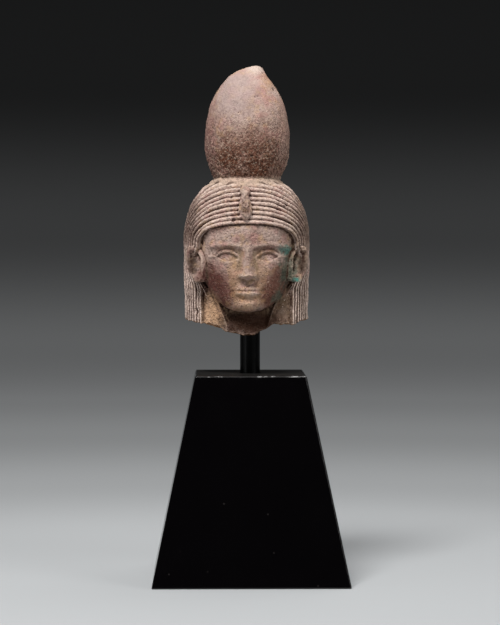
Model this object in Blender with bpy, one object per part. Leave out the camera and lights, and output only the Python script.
"""Small carved head of a goddess in a tall ovoid crown, on a rod above a tapered display plinth.

The head is one carved stone: face, striated wig with its two front lappets, ears, brow cobra and crown.
It is broken off across the neck, and a straight rod set in a drilled socket holds it over the plinth.

+Z is up, the face looks along -Y, and the origin is the centre of the plinth's underside.
"""

import math

import bmesh
import bpy
from mathutils import Matrix, Vector

MM = 0.001

# Plinth: a block with four equal sloping sides
PLINTH_HEIGHT = 61.1 * MM
PLINTH_BASE_SIDE = 58.2 * MM
PLINTH_TOP_SIDE = 32.8 * MM
PLINTH_EASED_EDGE = 0.45 * MM

# Rod and the two drilled sockets that it stands in
ROD_DIAMETER = 6.0 * MM
ROD_SHOWN = 12.0 * MM
ROD_IN_PLINTH = 18.0 * MM
ROD_IN_HEAD = 14.0 * MM
ROD_CHAMFER = 0.5 * MM
SOCKET_CLEARANCE = 0.3 * MM
ROUND_SIDES = 32

# Head: laid out on a carver's unit, eighty of them from the broken neck to the tip of the crown
HEAD_HEIGHT = 80.0 * MM
UNITS_IN_HEAD = 80.0
UNIT = HEAD_HEIGHT / UNITS_IN_HEAD
HEAD_OFFSET_X = -1.0 * MM
HEAD_OFFSET_Y = 1.5 * MM

# From here every head size is in carver's units, measured up from the break and out from the head's axis

# Wig: a dome on a skirt of hair that hangs to the break
WIG_HALF_WIDTH = 18.9
WIG_SQUARENESS = 2.3
DOME_CENTRE_Z = 26.4
DOME_RISE = 21.9
DOME_FRONT = 18.9
WIG_BACK = 21.0
LAPPET_FRONT = 13.0
LAPPET_HALF_WIDTH = 18.4
LAPPET_LEVEL_Z = 17.0
HAIRLINE_Z = 32.7
HAIRLINE_SQUARENESS = 2.45
LIP_RECESS = 1.2

# The wig's inner edge below the dome, as half widths of the opening at heights
OPENING = ((-3.0, 5.2), (3.0, 6.6), (9.5, 9.2), (15.0, 13.8), (20.0, 15.8), (26.4, 14.9))

# Smooth sunken panel between the neck and the hair that hangs straight down beside it
PANEL_HALF_WIDTH = 13.4
PANEL_DEPTH = 0.8
PANEL_TOP_Z = 19.0
PANEL_FULL_Z = 11.0

# Hair strands: rows over the brow that turn down into the lappets, and straight strands behind
FRONT_STRANDS = 11
BACK_STRANDS = 34
STRAND_GROOVE = 0.5
BALD_RADIUS = 10.6
STRAND_RADIUS = 12.8
SKIRT_LEVELS = (-3.0, 3.0, 9.5, 15.0, 20.5)
ARCH_STEPS = 8

# Crown: a tall ovoid on a low band, its tip drawn to one side by the break
CROWN_FOOT_Z = 42.0
CROWN_BAND_TOP_Z = 46.3
CROWN_BAND_RADIUS = 10.0
CROWN_WIDEST_Z = 57.4
CROWN_RADIUS = 12.75
CROWN_LOWER_RISE = 17.9
CROWN_POINT = 0.19
CROWN_OFFSET_X = 0.2
CROWN_TIP_DRIFT = 2.7
CROWN_DRIFT_HEIGHT = 4.6
CROWN_SIDES = 36
CROWN_LOWER_RINGS = 5
CROWN_UPPER_RINGS = 12

# Face: calm and regular, divided in equal thirds from the chin to the natural hairline under the wig
CHIN_Z = 6.4
FACE_THIRD = 9.8
NOSE_BASE_Z = CHIN_Z + FACE_THIRD
BROW_Z = CHIN_Z + 2 * FACE_THIRD
MOUTH_Z = NOSE_BASE_Z - FACE_THIRD / 3
EYE_Z = BROW_Z - FACE_THIRD / 3
FACE_TOP_Z = 37.0
EYE_CENTRE_X = 5.9
EYE_HALF_WIDTH = 3.2
EYE_UPPER_RISE = 1.5
EYE_LOWER_DROP = 1.1
LID_STEP = 0.5
MOUTH_HALF_WIDTH = 4.3
UPPER_LIP = 1.45
LOWER_LIP = 1.7
NOSE_HALF_WIDTH = 2.7
FACE_FRONT_COLUMNS = 19
FACE_BACK_COLUMNS = 4
FACE_SQUARENESS = 0.72

# The plain form of the face under its features: half width, front and back at heights
FACE_SIDES = (
    (6.4, 0.8),
    (7.2, 4.4),
    (9.0, 7.6),
    (12.0, 10.5),
    (16.0, 12.6),
    (21.0, 13.7),
    (27.0, 14.3),
    (37.0, 13.0),
)
FACE_FRONTS = (
    (6.4, -12.6),
    (7.0, -14.7),
    (8.4, -16.0),
    (11.0, -16.4),
    (20.0, -16.5),
    (26.0, -17.3),
    (32.0, -17.8),
    (37.0, -14.5),
)
FACE_BACKS = ((6.4, -11.4), (7.2, -8.4), (9.0, -4.5), (13.0, 1.0), (18.0, 6.0), (37.0, 6.0))

# Ears, set between the temples and the lappets
EAR_HALF_HEIGHT = 5.5
EAR_HALF_WIDTH = 2.2
EAR_CENTRE = (15.9, -12.3, 20.8)
EAR_TURN = math.radians(36)
EAR_LEAN = math.radians(14)
EAR_SIDES = 20

# How far the ear's front edge lies below its rim, level with the cheek
EAR_FRONT_DROP = 2.6

# Neck stump between the lappets
NECK_HALF_WIDTH = 9.4
NECK_FRONT = 12.0
NECK_BACK = 6.0
NECK_SIDES = 24

# The neck's rings: height, and size as a share of the neck's own
NECK_RINGS = ((-4.2, 1.12), (2.0, 1.06), (6.0, 0.97), (10.0, 0.92), (16.0, 0.92))

# Rearing cobra over the brow: height, half width and how far it stands out from the wig
COBRA_X = -0.7
COBRA_ROOT = 1.6
COBRA_SIDES = 12
COBRA_FORM = (
    (33.9, 0.8, 0.8),
    (34.7, 1.5, 1.5),
    (36.4, 2.05, 2.0),
    (38.4, 2.0, 2.3),
    (40.1, 1.5, 2.4),
    (41.1, 1.25, 2.6),
    (42.0, 1.6, 3.0),
    (43.0, 1.5, 2.7),
    (43.8, 0.8, 1.5),
)

# Broken underside: how far each side rises from the neck, and its roughness
BREAK_LEFT = (1.5, 13.0, 3.3)
BREAK_RIGHT = (1.5, 8.5, 3.1)
BREAK_OUTER = (13.5, 19.0, 1.1)
BREAK_BACK = (6.0, 16.0, 1.0)
BREAK_ROUGHNESS = 0.22
BREAK_PITCH = 2.4
BREAK_CELLS = 20
BREAK_CUT_DEPTH = 12.0


def clear_scene():
    """Removes every object that the file opened with."""
    for old in list(bpy.data.objects):
        bpy.data.objects.remove(old)


def smoothstep(low, high, value):
    """0 below low, 1 above high, and a smooth rise between them."""
    share = min(1.0, max(0.0, (value - low) / (high - low)))
    return share * share * (3.0 - 2.0 * share)


def mix(first, second, share):
    """The value a share of the way from the first to the second."""
    return first + (second - first) * share


def swell(distance, reach):
    """1 at no distance, falling smoothly towards 0 a little past reach."""
    return math.exp(-((distance / reach) ** 2))


def dome(share):
    """A rounded profile: 1 in the middle, 0 from a share of 1 outwards."""
    return math.sqrt(max(0.0, 1.0 - share * share))


def outline(stops, at):
    """Reads a smooth curve through (place, value) stops that never overshoots them."""
    if at <= stops[0][0]:
        return stops[0][1]
    if at >= stops[-1][0]:
        return stops[-1][1]
    slopes = [(b[1] - a[1]) / (b[0] - a[0]) for a, b in zip(stops, stops[1:])]
    tangents = [slopes[0]]
    for before, after in zip(slopes, slopes[1:]):
        tangents.append(2 * before * after / (before + after) if before * after > 0 else 0.0)
    tangents.append(slopes[-1])
    span = max(i for i in range(len(slopes)) if stops[i][0] <= at)
    width = stops[span + 1][0] - stops[span][0]
    share = (at - stops[span][0]) / width
    value = mix(stops[span][1], stops[span + 1][1], smoothstep(0.0, 1.0, share))
    value += share * (1 - share) ** 2 * tangents[span] * width
    return value + share**2 * (share - 1) * tangents[span + 1] * width


def loft(rings):
    """A closed solid through rings of equal count, each end closed by a fan to its middle."""
    bm = bmesh.new()
    loops = [[bm.verts.new(point) for point in ring] for ring in rings]
    count = len(rings[0])
    for lower, upper in zip(loops, loops[1:]):
        for i in range(count):
            j = (i + 1) % count
            bm.faces.new((lower[i], lower[j], upper[j], upper[i]))
    for loop in (loops[0], loops[-1]):
        middle = bm.verts.new(sum((v.co for v in loop), Vector()) / count)
        for i in range(count):
            bm.faces.new((loop[i], loop[(i + 1) % count], middle))
    return bm


def turns_of(count):
    """Equal turns round a full circle in radians, starting half a step past the first axis."""
    return [2 * math.pi * (i + 0.5) / count for i in range(count)]


def object_from(bm, name, material=None):
    """Turns a closed bmesh into an object of the scene with its faces outwards."""
    bmesh.ops.recalc_face_normals(bm, faces=bm.faces)
    mesh = bpy.data.meshes.new(name)
    bm.to_mesh(mesh)
    bm.free()
    made = bpy.data.objects.new(name, mesh)
    bpy.context.scene.collection.objects.link(made)
    if material:
        mesh.materials.append(material)
    return made


def paint(name, colour, roughness, metallic=0.0):
    """A Principled material of one colour."""
    material = bpy.data.materials.new(name)
    material.use_nodes = True
    shader = material.node_tree.nodes["Principled BSDF"]
    shader.inputs["Base Color"].default_value = (*colour, 1.0)
    shader.inputs["Roughness"].default_value = roughness
    shader.inputs["Metallic"].default_value = metallic
    return material


def boolean(target, tools, operation):
    """Joins tools to the target or cuts them from it for good, and removes them."""
    for tool in tools:
        step = target.modifiers.new(operation.title(), "BOOLEAN")
        step.operation = operation
        step.object = tool
        step.solver = "EXACT"
        bpy.context.view_layer.update()
        graph = bpy.context.evaluated_depsgraph_get()
        shaped = bpy.data.meshes.new_from_object(target.evaluated_get(graph))
        target.modifiers.clear()
        target.data = shaped
        bpy.data.objects.remove(tool)


def cylinder(name, radius, bottom_z, top_z):
    """An upright cylinder on the world's axis, in metres."""
    bm = bmesh.new()
    depth = top_z - bottom_z
    bmesh.ops.create_cone(bm, cap_ends=True, segments=ROUND_SIDES, radius1=radius, radius2=radius, depth=depth)
    bmesh.ops.translate(bm, verts=bm.verts, vec=(0, 0, (top_z + bottom_z) / 2))
    return object_from(bm, name)


def skirt_section(z):
    """Half width and front depth of the wig at a height below the dome's centre."""
    hang = 1.0 - smoothstep(LAPPET_LEVEL_Z, DOME_CENTRE_Z, z)
    taper = 1.0 - smoothstep(0.0, DOME_CENTRE_Z, z)
    return mix(WIG_HALF_WIDTH, LAPPET_HALF_WIDTH, taper), mix(DOME_FRONT, LAPPET_FRONT, hang)


def skirt_point(turn, z):
    """The wig's plain outer surface at a turn from the front and a height below the dome's centre."""
    half_width, front = skirt_section(z)
    depth = front if math.cos(turn) > 0 else WIG_BACK
    across = abs(math.sin(turn)) / half_width
    along = abs(math.cos(turn)) / depth
    reach = (across**WIG_SQUARENESS + along**WIG_SQUARENESS) ** (-1 / WIG_SQUARENESS)
    return Vector((reach * math.sin(turn), -reach * math.cos(turn), z))


def front_turn(x, z):
    """The turn from the front at which the wig's front surface is x wide, at a height below the dome's centre."""
    half_width, front = skirt_section(z)
    depth = front * (1 - (x / half_width) ** WIG_SQUARENESS) ** (1 / WIG_SQUARENESS)
    return math.atan2(x, depth)


def panel_share(z):
    """How much of the smooth panel there is at a height: none beside the ears, all of it below the jaw."""
    return 1.0 - smoothstep(PANEL_FULL_Z, PANEL_TOP_Z, z)


def row_turn(share, z):
    """The turn of a place across the front rows; the first row widens into the smooth panel as it comes down."""
    edge, panel, side = front_turn(outline(OPENING, z), z), front_turn(PANEL_HALF_WIDTH, z), math.pi / 2
    first = 1 / FRONT_STRANDS
    hanging = mix(edge, panel, share / first)
    if share > first:
        hanging = mix(panel, side, (share - first) / (1 - first))
    return mix(mix(edge, side, share), hanging, panel_share(z))


def dome_front_y(x, z):
    """The front surface of the wig's dome at a place seen from the front."""
    used = (abs(x) / WIG_HALF_WIDTH) ** WIG_SQUARENESS + ((z - DOME_CENTRE_Z) / DOME_RISE) ** WIG_SQUARENESS
    return -DOME_FRONT * max(0.0, 1 - used) ** (1 / WIG_SQUARENESS)


def groove(strands):
    """Depth of the carving at a place counted in strands: deepest at every whole number."""
    return STRAND_GROOVE * (1 - abs(math.sin(math.pi * strands)))


def sunk(point, depth):
    """Moves a point on the wig inwards, and less and less towards the smooth band under the crown."""
    middle = Vector((0, 0, min(DOME_CENTRE_Z, point.z)))
    carved = 1.0
    if point.z > DOME_CENTRE_Z:
        carved = smoothstep(BALD_RADIUS, STRAND_RADIUS, math.hypot(point.x, point.y))
    return point + (middle - point).normalized() * depth * carved


def arch_shares(squareness):
    """How far out and how far up each step of a line over the dome lies, from its foot to its top."""
    swings = [math.pi / 2 * step / ARCH_STEPS for step in range(ARCH_STEPS)]
    power = 2 / squareness
    return [(math.cos(swing) ** power, math.sin(swing) ** power) for swing in swings] + [(0.0, 1.0)]


def front_strand(share):
    """Half a row of hair up to the middle line; a share of 0 is the wig's edge and 1 lies over the ears."""
    in_first_row = share * FRONT_STRANDS < 1
    depth = 0.0 if in_first_row else groove(share * FRONT_STRANDS)
    line = []
    for z in SKIRT_LEVELS:
        panel_depth = PANEL_DEPTH * panel_share(z) if in_first_row else 0.0
        line.append(sunk(skirt_point(row_turn(share, z), z), depth + panel_depth))
    side_x = skirt_point(row_turn(share, DOME_CENTRE_Z), DOME_CENTRE_Z).x
    rise = mix(HAIRLINE_Z - DOME_CENTRE_Z, DOME_RISE, share)
    for outward, upward in arch_shares(mix(HAIRLINE_SQUARENESS, WIG_SQUARENESS, share)):
        x, z = side_x * outward, DOME_CENTRE_Z + rise * upward
        line.append(sunk(Vector((x, dome_front_y(x, z), z)), depth))
    return line


def back_strand(turn, depth):
    """A straight strand behind, up to the top of the dome."""
    line = [sunk(skirt_point(turn, z), depth) for z in SKIRT_LEVELS]
    side = skirt_point(turn, DOME_CENTRE_Z)
    for outward, upward in arch_shares(WIG_SQUARENESS):
        z = DOME_CENTRE_Z + DOME_RISE * upward
        line.append(sunk(Vector((side.x * outward, side.y * outward, z)), depth))
    return line


def recess_columns(edge_line):
    """Columns of points behind the wig's edge, across the opening that the face and neck fill."""
    columns = []
    for side, extra in ((1.0, 0.0), (0.5, 1.5), (0.0, 2.0), (-0.5, 1.5), (-1.0, 0.0)):
        push = LIP_RECESS + extra
        columns.append([Vector((0.95 * side * p.x, p.y + push, p.z)) for p in edge_line[:-1]])
    return columns


def wig_solid():
    """The wig with its rows and strands of hair, closed behind the face."""
    right_lines = [front_strand(i / (2 * FRONT_STRANDS)) for i in range(2 * FRONT_STRANDS + 1)]
    back_lines = []
    for i in range(1, 2 * BACK_STRANDS):
        turn = math.pi / 2 + math.pi * i / (2 * BACK_STRANDS)
        back_lines.append(back_strand(turn, groove(i / 2)))

    bm = bmesh.new()
    rights = [[bm.verts.new(p) for p in line] for line in right_lines]
    lefts = []
    for line, right in zip(right_lines, rights):
        lefts.append([bm.verts.new((-p.x, p.y, p.z)) for p in line[:-1]] + [right[-1]])
    pole = rights[-1][-1]
    backs = [[bm.verts.new(p) for p in line[:-1]] + [pole] for line in back_lines]
    recess = [[bm.verts.new(p) for p in column] + [rights[0][-1]] for column in recess_columns(right_lines[0])]

    around = rights + backs + lefts[::-1] + recess[::-1]
    for first, second in zip(around, around[1:] + around[:1]):
        for i in range(len(first) - 1):
            corners = dict.fromkeys((first[i], second[i], second[i + 1], first[i + 1]))
            bm.faces.new(list(corners))
    bm.faces.new([line[0] for line in around])
    return bm


def crown_solid():
    """The ovoid crown on its low band, with the tip drawn aside."""
    upper_rise = UNITS_IN_HEAD - CROWN_WIDEST_Z
    levels = [(CROWN_FOOT_Z, CROWN_BAND_RADIUS), (CROWN_BAND_TOP_Z - 0.8, CROWN_BAND_RADIUS)]
    start = -math.asin(min(1.0, (CROWN_WIDEST_Z - CROWN_BAND_TOP_Z) / CROWN_LOWER_RISE))
    for i in range(CROWN_LOWER_RINGS):
        swing = start * (1 - i / CROWN_LOWER_RINGS)
        levels.append((CROWN_WIDEST_Z + CROWN_LOWER_RISE * math.sin(swing), CROWN_RADIUS * math.cos(swing)))
    for i in range(CROWN_UPPER_RINGS):
        swing = math.pi / 2 * i / CROWN_UPPER_RINGS
        pointed = 1 - CROWN_POINT * math.sin(swing) ** 3
        levels.append((CROWN_WIDEST_Z + upper_rise * math.sin(swing), CROWN_RADIUS * math.cos(swing) * pointed))
    rings = []
    for z, radius in levels:
        climb = max(0.0, 1 - (UNITS_IN_HEAD - z) / CROWN_DRIFT_HEIGHT)
        middle = CROWN_OFFSET_X + CROWN_TIP_DRIFT * climb**2
        rings.append(
            [Vector((middle + radius * math.cos(t), radius * math.sin(t), z)) for t in turns_of(CROWN_SIDES)]
        )
    return loft(rings)


def nose_relief(x, z):
    """A straight nose with a rounded tip and wings, highest just over its base."""
    root_z, tip_z = BROW_Z - 1.0, NOSE_BASE_Z + 1.7
    down = min(1.0, max(0.0, (root_z - z) / (root_z - tip_z)))
    height = mix(1.2, 3.3, down) * (1 - smoothstep(root_z, root_z + 2.4, z))
    height *= smoothstep(NOSE_BASE_Z - 0.4, tip_z - 0.4, z)
    bridge = height * math.exp(-((abs(x) / mix(1.25, 1.9, down)) ** 2.3))
    wings = 1.6 * swell(math.hypot(abs(x) - NOSE_HALF_WIDTH + 0.7, 1.1 * (z - NOSE_BASE_Z - 1.2)), 1.1)
    nostrils = 0.8 * swell(math.hypot(abs(x) - 1.15, 1.5 * (z - NOSE_BASE_Z - 0.1)), 0.6)
    return bridge + wings - nostrils


def mouth_relief(x, z):
    """Closed, level lips with a soft bow above, on a gentle swell."""
    across = abs(x) / MOUTH_HALF_WIDTH
    fullness = dome(across) ** 1.5
    tall_up, tall_down = (lip * mix(0.45, 1.0, fullness) for lip in (UPPER_LIP, LOWER_LIP))
    bow = 0.22 * swell(x, 0.7)
    upper = 0.8 * dome((z - MOUTH_Z - 0.45 * tall_up) / (0.66 * tall_up - bow)) ** 1.4 * fullness
    lower = 0.95 * dome((z - MOUTH_Z + 0.45 * tall_down) / (0.64 * tall_down)) ** 1.4 * fullness
    corner = 0.35 * swell(math.hypot(abs(x) - MOUTH_HALF_WIDTH - 0.2, z - MOUTH_Z), 0.8)
    muzzle = 1.0 * swell(math.hypot(x / 6.0, (z - MOUTH_Z - 0.6) / 3.9), 1.0)
    channel = 0.25 * swell(x, 0.55) * swell(z - MOUTH_Z - UPPER_LIP - 0.8, 0.8)
    return muzzle + max(upper, lower) - corner - channel


def eye_relief(x, z):
    """An almond eye between raised lids, a drawn line from its corner and a long brow."""
    across = (abs(x) - EYE_CENTRE_X) / EYE_HALF_WIDTH
    lean = 0.2 * across
    opened = max(0.0, 1 - across * across)
    upper = EYE_Z + lean + EYE_UPPER_RISE * opened**0.8
    lower = EYE_Z + lean - EYE_LOWER_DROP * opened
    socket = 1.5 * swell(math.hypot((abs(x) - 5.0) / 4.9, (z - EYE_Z - 0.4) / 3.0), 1.0)
    ball = 1.45 * swell(math.hypot(across / 1.15, (z - EYE_Z - 0.1) / 2.5), 1.0)
    inside = smoothstep(-0.25, 0.5, min(upper - z, z - lower)) if opened > 0 else 0.0
    fold = 0.3 * swell(z - upper - 1.0, 0.35) * (1 - smoothstep(0.95, 1.15, abs(across)))
    line_span = smoothstep(0.95, 1.1, across) * (1 - smoothstep(1.75, 1.95, across))
    drawn_line = 0.4 * swell(z - EYE_Z - 0.25, 0.42) * line_span
    brow_z = BROW_Z - 0.3 + 0.8 * math.sin(math.pi * min(1.0, abs(x) / 12.5))
    brow_span = smoothstep(1.2, 2.4, abs(x)) * (1 - smoothstep(10.8, 12.0, abs(x)))
    brow = 0.6 * swell(z - brow_z, 0.75) * brow_span
    return ball - socket - LID_STEP * inside - fold + drawn_line + brow


def face_relief(x, z):
    """How far the features stand out from the plain form of the face at a place seen from the front."""
    cheek = 0.8 * swell(math.hypot((abs(x) - 7.6) / 4.4, (z - 18.6) / 3.4), 1.0)
    chin = 1.0 * swell(math.hypot(x / 3.7, (z - CHIN_Z - 2.5) / 1.9), 1.0)
    under_lip = 0.45 * swell(math.hypot(x / 3.4, (z - MOUTH_Z + LOWER_LIP + 0.7) / 0.8), 1.0)
    return cheek + chin - under_lip + nose_relief(x, z) + mouth_relief(x, z) + eye_relief(x, z)


def face_levels():
    """Heights of the face's rings, closer together across the mouth and the eyes."""
    zones = (
        (CHIN_Z, MOUTH_Z - 2.6, 6),
        (MOUTH_Z - 2.6, MOUTH_Z + 2.0, 11),
        (MOUTH_Z + 2.0, NOSE_BASE_Z + 2.2, 6),
        (NOSE_BASE_Z + 2.2, EYE_Z - 1.8, 3),
        (EYE_Z - 1.8, EYE_Z + 2.2, 11),
        (EYE_Z + 2.2, BROW_Z + 2.0, 5),
        (BROW_Z + 2.0, FACE_TOP_Z, 4),
    )
    levels = []
    for low, high, count in zones:
        levels += [mix(low, high, i / count) for i in range(count)]
    return levels + [FACE_TOP_Z]


def face_turns():
    """Turns from the front of the face's columns, closer together in front."""
    front = [math.pi / 2 * (i / FACE_FRONT_COLUMNS) ** 1.1 for i in range(FACE_FRONT_COLUMNS)]
    back = [math.pi / 2 * (1 + i / FACE_BACK_COLUMNS) for i in range(FACE_BACK_COLUMNS)]
    right = front + back
    return right + [math.pi] + [-turn for turn in right[:0:-1]]


def face_solid():
    """The face and the skull under the wig, as level rings with the features raised on them."""
    rings = []
    for z in face_levels():
        half_width = outline(FACE_SIDES, z)
        front, back = outline(FACE_FRONTS, z), outline(FACE_BACKS, z)
        middle, half_depth = (front + back) / 2, (back - front) / 2
        ring = []
        for turn in face_turns():
            x = half_width * math.sin(turn)
            y = middle - half_depth * math.copysign(abs(math.cos(turn)) ** FACE_SQUARENESS, math.cos(turn))
            ring.append(Vector((x, y - smoothstep(0.15, 0.5, math.cos(turn)) * face_relief(x, z), z)))
        rings.append(ring)
    return loft(rings)


def neck_solid():
    """The neck, running down past the break."""
    rings = []
    for z, spread in NECK_RINGS:
        middle, half_depth = (NECK_BACK - NECK_FRONT * spread) / 2, (NECK_BACK + NECK_FRONT * spread) / 2
        ring = []
        for t in turns_of(NECK_SIDES):
            ring.append(Vector((NECK_HALF_WIDTH * spread * math.cos(t), middle + half_depth * math.sin(t), z)))
        rings.append(ring)
    return loft(rings)


def ear_point(side, along, up, out):
    """Places a point given along the ear towards the back, up it and out from the head."""
    leaned = along * math.cos(EAR_LEAN) + up * math.sin(EAR_LEAN)
    raised = up * math.cos(EAR_LEAN) - along * math.sin(EAR_LEAN)
    x = EAR_CENTRE[0] + leaned * math.sin(EAR_TURN) + out * math.cos(EAR_TURN)
    y = EAR_CENTRE[1] + leaned * math.cos(EAR_TURN) - out * math.sin(EAR_TURN)
    return Vector((side * x, y, EAR_CENTRE[2] + raised))


def ear_solid(side):
    """One ear: a rim round a hollow, with a flat lobe below."""
    rings = []
    for share, out, lobe_out in (
        (0.95, -4.4, -4.4),
        (1.0, 0.3, 0.0),
        (0.95, 0.9, 0.5),
        (0.8, 0.95, 0.7),
        (0.62, -0.3, 0.6),
        (0.3, -0.7, 0.1),
    ):
        ring = []
        for t in turns_of(EAR_SIDES):
            up = math.sin(t)
            along = EAR_HALF_WIDTH * share * math.cos(t) * mix(0.6, 1.0, smoothstep(-1.0, 0.1, up))
            lobe = 1 - smoothstep(-0.85, -0.45, up)
            drop = EAR_FRONT_DROP * (1 - smoothstep(-1.0, 0.2, math.cos(t))) if rings else 0.0
            ring.append(ear_point(side, along, EAR_HALF_HEIGHT * share * up, mix(out, lobe_out, lobe) - drop))
        rings.append(ring)
    return loft(rings)


def cobra_solid():
    """The worn cobra: a swelling hood, a short neck and a blunt head that leans out from the wig."""
    rings = []
    for z, half_width, proud in COBRA_FORM:
        middle = dome_front_y(0.0, z) + (COBRA_ROOT - proud) / 2
        half_depth = (COBRA_ROOT + proud) / 2
        ring = []
        for t in turns_of(COBRA_SIDES):
            ring.append(Vector((COBRA_X + half_width * math.cos(t), middle + half_depth * math.sin(t), z)))
        rings.append(ring)
    return loft(rings)


def rise_past(span, distance):
    """A smooth rise given as where it starts, where it ends and how high it gets."""
    start, end, height = span
    return height * smoothstep(start, end, distance)


def break_height(x, y):
    """Height of the broken underside, lowest under the neck."""
    rise = rise_past(BREAK_LEFT, -x) + rise_past(BREAK_RIGHT, x)
    rise += rise_past(BREAK_OUTER, abs(x)) + rise_past(BREAK_BACK, y)
    rough = math.sin(0.9 * x + 1.3) * math.sin(0.7 * y) + 0.7 * math.sin(1.9 * x - 1.1 * y)
    return rise + BREAK_ROUGHNESS * rough * smoothstep(3.0, 6.0, math.hypot(x, y))


def break_cutter():
    """A block whose upper side is the broken surface."""
    bm = bmesh.new()
    size = BREAK_CELLS * BREAK_PITCH / 2
    bmesh.ops.create_grid(bm, x_segments=BREAK_CELLS, y_segments=BREAK_CELLS, size=size)
    for vert in bm.verts:
        vert.co.z = break_height(vert.co.x, vert.co.y)
    rim = [edge for edge in bm.edges if edge.is_boundary]
    skirt = bmesh.ops.extrude_edge_only(bm, edges=rim)["geom"]
    for item in skirt:
        if isinstance(item, bmesh.types.BMVert):
            item.co.z = -BREAK_CUT_DEPTH
    bmesh.ops.holes_fill(bm, edges=[edge for edge in bm.edges if edge.is_boundary])
    return object_from(bm, "break_cutter")


def carved_head(material):
    """The whole head as one solid, above the plinth and drilled for the rod."""
    head = object_from(wig_solid(), "goddess_head", material)
    parts = [object_from(face_solid(), "face"), object_from(neck_solid(), "neck")]
    parts += [object_from(crown_solid(), "crown"), object_from(cobra_solid(), "cobra")]
    parts += [object_from(ear_solid(side), "ear") for side in (-1, 1)]
    boolean(head, parts, "UNION")
    boolean(head, [break_cutter()], "DIFFERENCE")
    neck_z = PLINTH_HEIGHT + ROD_SHOWN
    head.data.transform(Matrix.Diagonal((UNIT, UNIT, UNIT, 1.0)))
    head.data.transform(Matrix.Translation((HEAD_OFFSET_X, HEAD_OFFSET_Y, neck_z)))
    socket_top = neck_z + ROD_IN_HEAD + SOCKET_CLEARANCE
    socket = cylinder("head_socket", ROD_DIAMETER / 2 + SOCKET_CLEARANCE, neck_z - ROD_SHOWN / 2, socket_top)
    boolean(head, [socket], "DIFFERENCE")
    return head


def plinth(material):
    """The tapered block, its edges eased, with the rod's socket drilled in its top."""
    bm = bmesh.new()
    bmesh.ops.create_cube(bm, size=1.0)
    for vert in bm.verts:
        upper = vert.co.z > 0
        side = PLINTH_TOP_SIDE if upper else PLINTH_BASE_SIDE
        vert.co = Vector((vert.co.x * side, vert.co.y * side, PLINTH_HEIGHT if upper else 0.0))
    bmesh.ops.bevel(bm, geom=list(bm.edges), offset=PLINTH_EASED_EDGE, segments=3, profile=0.5, affect="EDGES")
    block = object_from(bm, "plinth", material)
    floor = PLINTH_HEIGHT - ROD_IN_PLINTH - SOCKET_CLEARANCE
    above = PLINTH_HEIGHT + ROD_SHOWN / 2
    socket = cylinder("plinth_socket", ROD_DIAMETER / 2 + SOCKET_CLEARANCE, floor, above)
    boolean(block, [socket], "DIFFERENCE")
    return block


def support_rod(material):
    """The rod that stands in the plinth and holds the head."""
    bottom = PLINTH_HEIGHT - ROD_IN_PLINTH
    top = PLINTH_HEIGHT + ROD_SHOWN + ROD_IN_HEAD
    rod = cylinder("support_rod", ROD_DIAMETER / 2, bottom, top)
    rod.data.materials.append(material)
    ease = rod.modifiers.new("Chamfer", "BEVEL")
    ease.width = ROD_CHAMFER
    ease.segments = 1
    ease.limit_method = "ANGLE"
    ease.angle_limit = math.radians(60)
    return rod


def shade(made, sharp_degrees):
    """Smooth shading that keeps every edge sharper than the angle."""
    made.data.shade_smooth()
    made.data.set_sharp_from_angle(angle=math.radians(sharp_degrees))


def main():
    """Builds the head, the plinth and the rod."""
    clear_scene()
    stone = paint("weathered_stone", (0.36, 0.25, 0.20), 0.75)
    lacquer = paint("black_lacquer", (0.012, 0.012, 0.013), 0.3)
    steel = paint("blackened_steel", (0.015, 0.015, 0.016), 0.45, 0.6)
    shade(carved_head(stone), 35)
    shade(plinth(lacquer), 20)
    shade(support_rod(steel), 30)


main()
